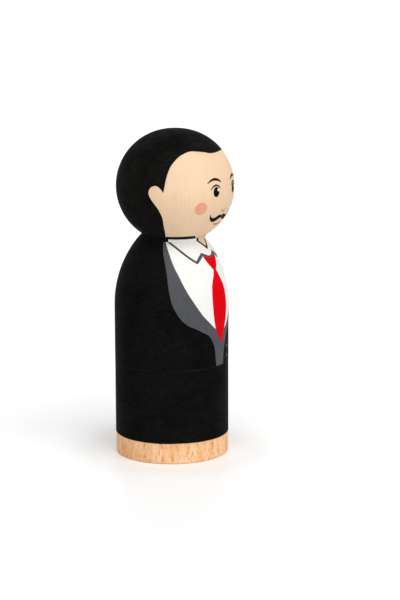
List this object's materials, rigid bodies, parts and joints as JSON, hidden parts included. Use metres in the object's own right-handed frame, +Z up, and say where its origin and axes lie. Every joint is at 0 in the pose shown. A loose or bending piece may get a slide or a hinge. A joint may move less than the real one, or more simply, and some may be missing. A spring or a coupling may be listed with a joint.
{
  "type": "peg doll",
  "caption": "Standing wooden peg doll: a straight turned body with rounded shoulders and a ball head joined by a hidden dowel, painted with a black suit, white shirt and red tie.",
  "frame": {"origin": "middle of the flat foot, on the axis of the turned body, on the table", "axes": "+Z up along the body's axis, -Y the way the doll faces, -X its right hand"},
  "size_m": [0.0416, 0.0427, 0.1159],
  "materials": {
    "beech": "fine sanded, unvarnished, darker flecks along the grain",
    "black_paint": "matt acrylic, brushed",
    "grey_paint": "matt acrylic, brushed",
    "white_paint": "matt acrylic",
    "red_paint": "satin acrylic",
    "skin_paint": "matt acrylic, thin",
    "line_paint": "satin acrylic, drawn with a liner brush",
    "nose_paint": "matt acrylic, thin line",
    "mouth_paint": "matt acrylic, thin line",
    "coral_paint": "matt acrylic, dabbed on thin"
  },
  "bodies": {
    "root": {"body_peg": "beech", "head_ball": "beech", "neck_dowel": "beech", "trousers_paint": "black_paint", "coat_paint": "black_paint", "coat_buttons": "grey_paint", "lapel_paint": "grey_paint", "shirt_paint": "white_paint", "throat_paint": "skin_paint", "throat_lines": "black_paint", "collar_lines": "line_paint", "tie_knot": "red_paint", "tie_blade": "red_paint", "neck_line": "black_paint", "collar_bead": "white_paint", "throat_bead": "skin_paint", "collar_stand": "white_paint", "neck_stroke": "black_paint", "skin_paint": "skin_paint", "hair_paint": "black_paint", "eyebrows": "black_paint", "eyes": "black_paint", "eye_glints": "white_paint", "eyelids": "black_paint", "nose_line": "nose_paint", "moustache": "black_paint", "mouth_line": "mouth_paint", "cheeks": "coral_paint"}
  },
  "joints": []
}
